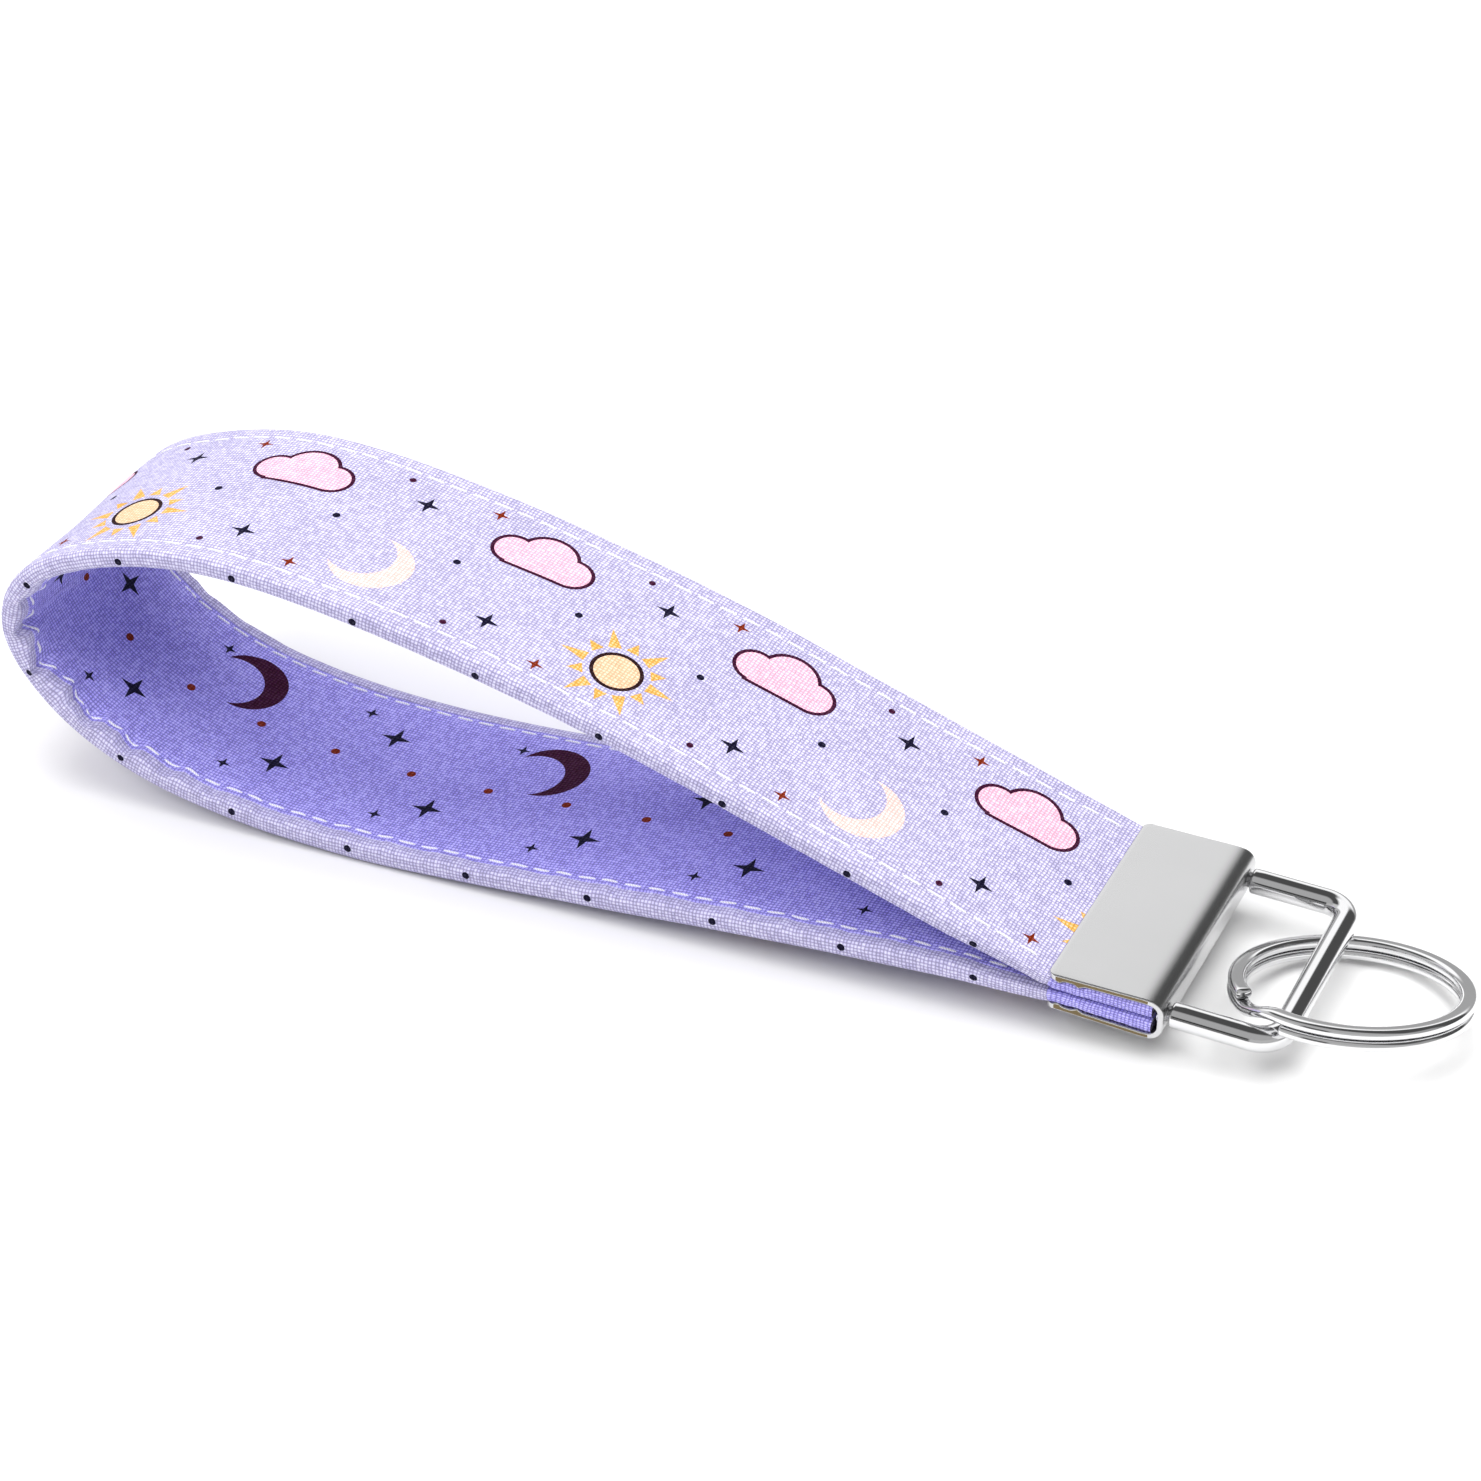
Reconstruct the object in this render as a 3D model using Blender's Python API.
"""Wristlet keychain: a printed fabric wrist loop crimped into a steel key-fob
clamp, with a fixed wire bail and a split ring that swings on it.

The model is drawn in the clamp's own frame: +X runs from the loop towards the
ring, +Y across the strap, +Z out of the upper jaw, with the origin in the middle
of the clamp's spine. An empty then tips it by REST_TILT and stands it on z = 0,
the way it lies on a table, with the middle of its length at x = 0.
"""
import math

import bmesh
import bpy
import numpy as np
from mathutils import Matrix, Vector

MM = 0.001

# Clamp: one folded steel strip, as wide as the strap.
CLAMP_WIDTH = 32.0 * MM
JAW_LENGTH = 14.0 * MM
SHEET = 0.7 * MM
SPINE_HALF_HEIGHT = 2.75 * MM
MOUTH_HALF_HEIGHT = 2.45 * MM
SPINE_CORNER_RADIUS = 1.8 * MM
JAW_CORNER_RADIUS = 1.0 * MM
GRIP_RIDGE_HEIGHT = 0.35 * MM
GRIP_RIDGE_PLACES = (12.6 * MM, 10.2 * MM)

# Bail: round wire bent to a U, its reduced ends riveted inside the spine.
BAIL_WIRE_RADIUS = 1.55 * MM
BAIL_HALF_SPAN = 13.85 * MM
BAIL_REACH = 12.7 * MM
BAIL_BEND_RADIUS = 3.2 * MM
TENON_RADIUS = 0.95 * MM
TENON_HOLE_RADIUS = 1.0 * MM
RIVET_HEAD_RADIUS = 1.45 * MM
RIVET_HEAD_LENGTH = 0.45 * MM
BAIL_SHOULDER_GAP = 0.15 * MM

# Split ring: two turns of wire lying on each other.
RING_OUTER_RADIUS = 14.1 * MM
RING_WIRE_WIDTH = 2.0 * MM
RING_WIRE_HEIGHT = 1.28 * MM
RING_COIL_GAP = 0.08 * MM
RING_JOGGLE_DEGREES = 26.0
RING_END_DEGREES = -139.0
RING_CENTRE = Vector((17.5, -1.4, 0.35)) * MM
RING_NORMAL = Vector((-0.10, 0.255, 1.0))

# Strap: the outer face of the loop seen from the side, clamp mouth to clamp mouth.
STRAP_WIDTH = 32.0 * MM
STRAP_THICKNESS = 2.6 * MM
PRESSED_THICKNESS = 1.55 * MM
PRESS_LENGTH = 16.0 * MM
LOOP_OUTLINE_MM = [
    (-14.2, 1.9), (-29.5, 6.8), (-49.5, 12.9), (-69.5, 18.7), (-90.0, 23.2),
    (-110.0, 26.1), (-126.0, 26.2), (-140.0, 22.6), (-149.5, 16.5), (-153.0, 8.4),
    (-148.0, -1.3), (-136.0, -8.6), (-120.0, -11.6), (-100.0, -11.5), (-75.0, -8.7),
    (-45.0, -4.9), (-14.2, -1.9),
]
FABRIC = 0.5 * MM
LAYER_GAP = 0.1 * MM
INNER_CORNER = 0.3 * MM
EDGE_RADIUS = 0.9 * MM
LINING_INSET = 1.8 * MM
STITCH_INSET = 2.7 * MM
THREAD_WIDTH = 0.5 * MM
THREAD_HEIGHT = 0.2 * MM
THREAD_CLEARANCE = 0.05 * MM
STATIONS = 46

# The loop hinges where it leaves the jaws, so it starts a little way out.
FLEX_AXIS_X = -14.2 * MM
LOOP_START_GAP = 1.8 * MM
END_GAP = 0.12 * MM

# Resting pose on a table.
REST_TILT = math.radians(3.48)

STEEL = (0.62, 0.62, 0.63, 1.0)
LAVENDER = (0.50, 0.50, 0.82, 1.0)
LINING_LAVENDER = (0.27, 0.27, 0.60, 1.0)
WEBBING_WHITE = (0.80, 0.79, 0.76, 1.0)
THREAD_WHITE = (0.90, 0.90, 0.88, 1.0)


def clear_scene():
    for thing in list(bpy.data.objects):
        bpy.data.objects.remove(thing, do_unlink=True)


def material(name, colour, roughness, metallic=0.0):
    surface = bpy.data.materials.new(name)
    surface.use_nodes = True
    shader = surface.node_tree.nodes["Principled BSDF"]
    shader.inputs["Base Color"].default_value = colour
    shader.inputs["Roughness"].default_value = roughness
    shader.inputs["Metallic"].default_value = metallic
    surface.diffuse_color = colour
    return surface


def pivot(name, location, parent=None):
    """An empty on a joint's axis, or the frame that everything hangs from."""
    empty = bpy.data.objects.new(name, None)
    empty.location = location
    empty.parent = parent
    bpy.context.collection.objects.link(empty)
    return empty


def add_object(name, mesh_builder, surface, parent, smooth_angle=40.0):
    """Turn a bmesh in the clamp frame into an object under its parent empty."""
    mesh = bpy.data.meshes.new(name)
    bmesh.ops.recalc_face_normals(mesh_builder, faces=mesh_builder.faces)
    if parent.parent is not None:
        bmesh.ops.translate(mesh_builder, verts=mesh_builder.verts, vec=-parent.location)
    mesh_builder.to_mesh(mesh)
    mesh_builder.free()
    mesh.materials.append(surface)
    mesh.shade_smooth()
    mesh.set_sharp_from_angle(angle=math.radians(smooth_angle))
    part = bpy.data.objects.new(name, mesh)
    part.parent = parent
    bpy.context.collection.objects.link(part)
    return part


def loft(rings):
    """A closed solid through a list of rings of points, capped at both ends."""
    solid = bmesh.new()
    loops = [[solid.verts.new(point) for point in ring] for ring in rings]
    count = len(loops[0])
    for here, there in zip(loops, loops[1:]):
        for i in range(count):
            j = (i + 1) % count
            solid.faces.new((here[i], here[j], there[j], there[i]))
    solid.faces.new(loops[0])
    solid.faces.new(list(reversed(loops[-1])))
    return solid


def extrude_across(outline, half_width):
    """A solid from an outline of (x, z) points, extruded along Y."""
    near = [Vector((x, -half_width, z)) for x, z in outline]
    far = [Vector((x, half_width, z)) for x, z in outline]
    return loft([near, far])


def arc(centre_x, centre_z, radius, start, end, steps):
    """Points on an arc in the XZ plane, angles in degrees from +X towards +Z."""
    points = []
    for i in range(steps + 1):
        angle = math.radians(start + (end - start) * i / steps)
        points.append((centre_x + radius * math.cos(angle), centre_z + radius * math.sin(angle)))
    return points


def jaw_half_height(x):
    """Half the clamp's outer height: the jaws close a little towards the mouth."""
    share = min(1.0, max(0.0, -x / JAW_LENGTH))
    return SPINE_HALF_HEIGHT + (MOUTH_HALF_HEIGHT - SPINE_HALF_HEIGHT) * share


def ridge(place, base, height):
    """Three points of a ridge across the jaw, (x, z), towards the middle plane."""
    half = height
    return [(-place - half, base(-place - half)),
            (-place, base(-place) - height),
            (-place + half, base(-place + half))]


def clamp_outline():
    """The folded strip from the side: a U with rounded outer and inner corners."""
    outer = SPINE_CORNER_RADIUS
    inner = SPINE_CORNER_RADIUS - SHEET
    height = SPINE_HALF_HEIGHT

    def inner_height(x):
        return jaw_half_height(x) - SHEET

    upper = [(-JAW_LENGTH, MOUTH_HALF_HEIGHT)]
    upper += arc(-outer, height - outer, outer, 90.0, 0.0, 7)
    upper_inside = [(-JAW_LENGTH, inner_height(-JAW_LENGTH))]
    for place in GRIP_RIDGE_PLACES:
        upper_inside += ridge(place, inner_height, GRIP_RIDGE_HEIGHT)
    upper_inside += arc(-outer, height - outer, inner, 90.0, 0.0, 5)
    lower = [(x, -z) for x, z in reversed(upper)]
    lower_inside = [(x, -z) for x, z in reversed(upper_inside)]
    return upper + lower + list(reversed(upper_inside + lower_inside))


def cut(part, cutter):
    """Subtract a cutter, and keep it only as a hidden wire shape."""
    cutter.hide_render = True
    cutter.display_type = "WIRE"
    modifier = part.modifiers.new("cut_" + cutter.name, "BOOLEAN")
    modifier.operation = "DIFFERENCE"
    modifier.object = cutter


def jaw_corner_cutter(side):
    """What the round corner of both jaws leaves off, on the side y = +-1."""
    radius = JAW_CORNER_RADIUS
    reach = 1.0 * MM
    centre_x = -JAW_LENGTH + radius
    centre_y = side * (CLAMP_WIDTH / 2 - radius)
    edge = []
    for i in range(7):
        angle = math.radians(90.0 + 90.0 * i / 6)
        edge.append((centre_x + radius * math.cos(angle), centre_y + side * radius * math.sin(angle)))
    edge.append((-JAW_LENGTH - reach, centre_y))
    edge.append((-JAW_LENGTH - reach, centre_y + side * (radius + reach)))
    edge.append((centre_x, centre_y + side * (radius + reach)))
    low = [Vector((x, y, -4.0 * MM)) for x, y in edge]
    high = [Vector((x, y, 4.0 * MM)) for x, y in edge]
    return loft([low, high])


def circle_ring(centre, along, radius, sides):
    """A ring of points round a wire, square to the direction that it runs in."""
    side = along.cross(Vector((0.0, 0.0, 1.0))).normalized()
    up = side.cross(along).normalized()
    ring = []
    for i in range(sides):
        angle = 2.0 * math.pi * (i + 0.5) / sides
        ring.append(centre + radius * (math.cos(angle) * side + math.sin(angle) * up))
    return ring


def bail_rings():
    """Riveted head, tenon, shoulder, leg, bend, bar, and the same back again."""
    spine_inside = -SHEET
    head_start = spine_inside - 0.1 * MM - RIVET_HEAD_LENGTH
    head_end = spine_inside - 0.1 * MM
    shoulder = BAIL_SHOULDER_GAP
    profile = [
        (head_start, 0.75 * RIVET_HEAD_RADIUS), (head_start + 0.15 * MM, RIVET_HEAD_RADIUS),
        (head_end, RIVET_HEAD_RADIUS), (head_end + 0.02 * MM, TENON_RADIUS),
        (shoulder, TENON_RADIUS), (shoulder + 0.02 * MM, BAIL_WIRE_RADIUS - 0.35 * MM),
        (shoulder + 0.3 * MM, BAIL_WIRE_RADIUS),
    ]
    sides = 14
    along_x = Vector((1.0, 0.0, 0.0))
    first_leg = [circle_ring(Vector((x, -BAIL_HALF_SPAN, 0.0)), along_x, radius, sides)
                 for x, radius in profile]
    bend_x = BAIL_REACH - BAIL_BEND_RADIUS
    bend_y = BAIL_HALF_SPAN - BAIL_BEND_RADIUS
    bend = []
    steps = 7
    for i in range(steps + 1):
        angle = math.radians(-90.0 + 90.0 * i / steps)
        centre = Vector((bend_x + BAIL_BEND_RADIUS * math.cos(angle),
                         -bend_y + BAIL_BEND_RADIUS * math.sin(angle), 0.0))
        along = Vector((-math.sin(angle), math.cos(angle), 0.0))
        bend.append(circle_ring(centre, along, BAIL_WIRE_RADIUS, sides))
    half = first_leg + bend
    # The other half is the mirror image, with each ring's points kept in step.
    other = []
    for ring in reversed(half):
        mirrored = [Vector((point.x, -point.y, point.z)) for point in ring]
        other.append(mirrored)
    return half + other


def split_ring_rings():
    """Wire sections along two turns, with one joggle between the two levels."""
    level = (RING_WIRE_HEIGHT + RING_COIL_GAP) / 2
    middle_radius = RING_OUTER_RADIUS - RING_WIRE_WIDTH / 2
    start = RING_END_DEGREES + RING_JOGGLE_DEGREES + 3.0
    turn_ends = RING_END_DEGREES + 360.0
    finish = RING_END_DEGREES + 720.0 - 1.5
    steps = 92
    rings = []
    for i in range(steps + 1):
        degrees = start + (finish - start) * i / steps
        rise = min(1.0, max(0.0, (degrees - turn_ends) / RING_JOGGLE_DEGREES))
        height = level * (2.0 * (3.0 * rise ** 2 - 2.0 * rise ** 3) - 1.0)
        shrink = 0.8 if i in (0, steps) else 1.0
        rings.append(wire_section(math.radians(degrees), middle_radius, height, shrink))
    return rings


def wire_section(angle, radius, height, shrink):
    """A rounded rectangle across the split ring's wire."""
    outward = Vector((math.cos(angle), math.sin(angle), 0.0))
    half_width = RING_WIRE_WIDTH / 2 * shrink
    half_height = RING_WIRE_HEIGHT / 2 * shrink
    corner = 0.42 * RING_WIRE_HEIGHT * shrink
    points = []
    for centre_sign_u, centre_sign_v, first in ((1, 1, 0), (-1, 1, 90), (-1, -1, 180), (1, -1, 270)):
        for extra in (0.0, 45.0, 90.0):
            turn = math.radians(first + extra)
            u = centre_sign_u * (half_width - corner) + corner * math.cos(turn)
            v = centre_sign_v * (half_height - corner) + corner * math.sin(turn)
            points.append(outward * (radius + u) + Vector((0.0, 0.0, height + v)))
    return points


def smooth_outline(knots, count):
    """Points and inward normals at even spacing on a natural cubic spline."""
    knots = np.array(knots)
    stretch = np.hypot(*np.diff(knots, axis=0).T)
    place = np.concatenate(([0.0], np.cumsum(stretch)))
    size = len(knots)
    system = np.eye(size)
    right = np.zeros((size, 2))
    for i in range(1, size - 1):
        system[i, i - 1:i + 2] = stretch[i - 1], 2 * (stretch[i - 1] + stretch[i]), stretch[i]
        right[i] = 6 * ((knots[i + 1] - knots[i]) / stretch[i] - (knots[i] - knots[i - 1]) / stretch[i - 1])
    bend = np.linalg.solve(system, right)

    def at(q):
        i = np.clip(np.searchsorted(place, q, "right") - 1, 0, size - 2)
        a = (place[i + 1] - q) / stretch[i]
        b = 1.0 - a
        cubic = (a ** 3 - a)[:, None] * bend[i] + (b ** 3 - b)[:, None] * bend[i + 1]
        return a[:, None] * knots[i] + b[:, None] * knots[i + 1] + cubic * (stretch[i] ** 2)[:, None] / 6

    fine = at(np.linspace(0.0, place[-1], 4000))
    run = np.concatenate(([0.0], np.cumsum(np.hypot(*np.diff(fine, axis=0).T))))
    slope = np.gradient(fine, axis=0)
    slope /= np.hypot(*slope.T)[:, None]
    # Stations crowd towards the tight bend, where the direction changes fastest.
    turning = np.hypot(*np.gradient(slope, axis=0).T)
    weight = np.concatenate(([0.0], np.cumsum(np.diff(run) * 0.010 + turning[1:])))
    start = np.interp(LOOP_START_GAP / MM, run, weight)
    end = np.interp(run[-1] - LOOP_START_GAP / MM, run, weight)
    picks = np.interp(np.linspace(start, end, count), weight, run)
    points = np.stack([np.interp(picks, run, fine[:, k]) for k in (0, 1)], axis=1)
    slopes = np.stack([np.interp(picks, run, slope[:, k]) for k in (0, 1)], axis=1)
    slopes /= np.hypot(*slopes.T)[:, None]
    # The outline runs out along the top and back underneath, so the loop's inside is on its left.
    inward = np.stack([-slopes[:, 1], slopes[:, 0]], axis=1)
    return points * MM, inward, picks * MM, run[-1] * MM


def strap_thickness(run, length):
    """The strap is pressed flat at the mouth and reaches full thickness further out."""
    out = min(run, length - run) / PRESS_LENGTH
    share = min(1.0, max(0.0, out))
    share = share * share * (3.0 - 2.0 * share)
    return PRESSED_THICKNESS + (STRAP_THICKNESS - PRESSED_THICKNESS) * share


def strap_body(section):
    """Sweep a section of (across, share-or-depth) points round the loop."""
    points, inward, runs, length = smooth_outline(LOOP_OUTLINE_MM, STATIONS)
    rings = []
    for point, normal, run in zip(points, inward, runs):
        thick = strap_thickness(run, length)
        ring = []
        for across, depth in section(thick):
            ring.append(Vector((point[0] + normal[0] * depth, across, point[1] + normal[1] * depth)))
        rings.append(ring)
    return loft(rings)


def with_grooves(depth, groove_depth, half_width):
    """A face at one depth, near edge to far edge, with a groove for each thread line."""
    line = STRAP_WIDTH / 2 - STITCH_INSET
    half = THREAD_WIDTH / 2 + THREAD_CLEARANCE
    points = [(-half_width, depth)]
    for centre in (-line, line):
        points += [(centre - half - THREAD_CLEARANCE, depth), (centre - half, groove_depth),
                   (centre + half, groove_depth), (centre + half + THREAD_CLEARANCE, depth)]
    points.append((half_width, depth))
    return points


def cover_section(thick):
    """The cover: outer face, both rounded edges, and the strips turned to the inside."""
    half = STRAP_WIDTH / 2
    radius = EDGE_RADIUS * thick / STRAP_THICKNESS
    bend = 0.7071 * radius
    groove = THREAD_HEIGHT + THREAD_CLEARANCE
    outer = with_grooves(0.0, groove, half - radius)
    far_edge = [(half - radius + bend, radius - bend), (half, radius), (half, thick - radius),
                (half - radius + bend, thick - radius + bend), (half - radius, thick)]
    lip = half - LINING_INSET
    far_inner = [(lip, thick), (lip, thick - FABRIC), (half - FABRIC - INNER_CORNER, thick - FABRIC),
                 (half - FABRIC, thick - FABRIC - INNER_CORNER), (half - FABRIC, FABRIC)]
    near_inner = [(-across, depth) for across, depth in reversed(far_inner)]
    near_edge = [(-across, depth) for across, depth in reversed(far_edge)]
    return outer + far_edge + far_inner + near_inner + near_edge


def lining_section(thick):
    """The lining lies on the inner face, between the cover's turned strips."""
    half = STRAP_WIDTH / 2 - LINING_INSET - LAYER_GAP
    groove = thick - THREAD_HEIGHT - THREAD_CLEARANCE
    inner = with_grooves(thick, groove, half)
    return [(-half, thick - FABRIC), (half, thick - FABRIC)] + list(reversed(inner))


def core_section(thick):
    """The webbing fills what is left between the cover and the lining."""
    half = STRAP_WIDTH / 2 - FABRIC - INNER_CORNER - LAYER_GAP
    low = FABRIC + LAYER_GAP
    high = thick - FABRIC - LAYER_GAP
    return [(-half, low), (half, low), (half, high), (-half, high)]


def thread_section(side, on_lining):
    """One line of stitching, as a thin ribbon lying in its groove."""
    centre = side * (STRAP_WIDTH / 2 - STITCH_INSET)
    half = THREAD_WIDTH / 2

    def section(thick):
        low = thick - THREAD_HEIGHT if on_lining else 0.0
        high = low + THREAD_HEIGHT
        return [(centre - half, low), (centre + half, low), (centre + half, high), (centre - half, high)]

    return section


def strap_end_outline(sign):
    """The pressed end of one branch inside the jaws, (x, z), dented by the grip ridges."""
    back = -SHEET - RIVET_HEAD_LENGTH - 0.5 * MM
    front = -JAW_LENGTH + 0.1 * MM

    def face(x):
        return jaw_half_height(x) - SHEET - END_GAP

    points = [(front, END_GAP), (front, face(front))]
    for place in GRIP_RIDGE_PLACES:
        points += ridge(place, face, GRIP_RIDGE_HEIGHT)
    points += [(back, face(back) - 0.5 * MM), (back, END_GAP)]
    return [(x, sign * z) for x, z in points]


def stand_on_table(frame):
    """Tip the frame, then put the lowest point at z = 0 and the length's middle at x = 0."""
    frame.rotation_euler = (0.0, REST_TILT, 0.0)
    bpy.context.view_layer.update()
    corners = []
    graph = bpy.context.evaluated_depsgraph_get()
    for part in bpy.data.objects:
        if part.type != "MESH" or part.hide_render:
            continue
        shape = part.evaluated_get(graph)
        corners += [shape.matrix_world @ vertex.co for vertex in shape.data.vertices]
    lowest = min(point.z for point in corners)
    left = min(point.x for point in corners)
    right = max(point.x for point in corners)
    frame.location = (-(left + right) / 2, 0.0, -lowest)
    bpy.context.view_layer.update()


def build():
    clear_scene()
    steel = material("polished_steel", STEEL, 0.12, 1.0)
    cover_cloth = material("cover_cloth", LAVENDER, 0.85)
    lining_cloth = material("lining_cloth", LINING_LAVENDER, 0.85)
    webbing = material("webbing", WEBBING_WHITE, 0.9)
    thread = material("thread", THREAD_WHITE, 0.7)

    frame = pivot("rest_pose", (0.0, 0.0, 0.0))
    flex = pivot("strap_flex_axis", (FLEX_AXIS_X, 0.0, 0.0), frame)
    swing = pivot("ring_swing_axis", (BAIL_REACH, 0.0, 0.0), frame)

    clamp = add_object("clamp_shell", extrude_across(clamp_outline(), CLAMP_WIDTH / 2), steel, frame)
    for side, word in ((-1, "near"), (1, "far")):
        corner = add_object("cutter_corner_" + word, jaw_corner_cutter(side), steel, frame)
        cut(clamp, corner)
        hole_rings = [circle_ring(Vector((x, side * BAIL_HALF_SPAN, 0.0)), Vector((1.0, 0.0, 0.0)),
                                  TENON_HOLE_RADIUS, 20) for x in (-1.5 * MM, 1.0 * MM)]
        hole = add_object("cutter_hole_" + word, loft(hole_rings), steel, frame)
        cut(clamp, hole)

    add_object("bail", loft(bail_rings()), steel, frame)
    for sign, word in ((1, "upper"), (-1, "lower")):
        end = extrude_across(strap_end_outline(sign), STRAP_WIDTH / 2 - 0.3 * MM)
        add_object("strap_end_" + word, end, cover_cloth, frame)

    add_object("outer_cover", strap_body(cover_section), cover_cloth, flex)
    add_object("inner_lining", strap_body(lining_section), lining_cloth, flex)
    add_object("webbing_core", strap_body(core_section), webbing, flex)
    for side, word in ((-1, "near"), (1, "far")):
        add_object("needle_thread_" + word, strap_body(thread_section(side, False)), thread, flex)
        add_object("bobbin_thread_" + word, strap_body(thread_section(side, True)), thread, flex)

    ring_turn = Vector((0.0, 0.0, 1.0)).rotation_difference(RING_NORMAL.normalized()).to_matrix().to_4x4()
    ring_solid = loft(split_ring_rings())
    bmesh.ops.transform(ring_solid, matrix=Matrix.Translation(RING_CENTRE) @ ring_turn, verts=ring_solid.verts)
    add_object("split_ring", ring_solid, steel, swing)

    stand_on_table(frame)


build()
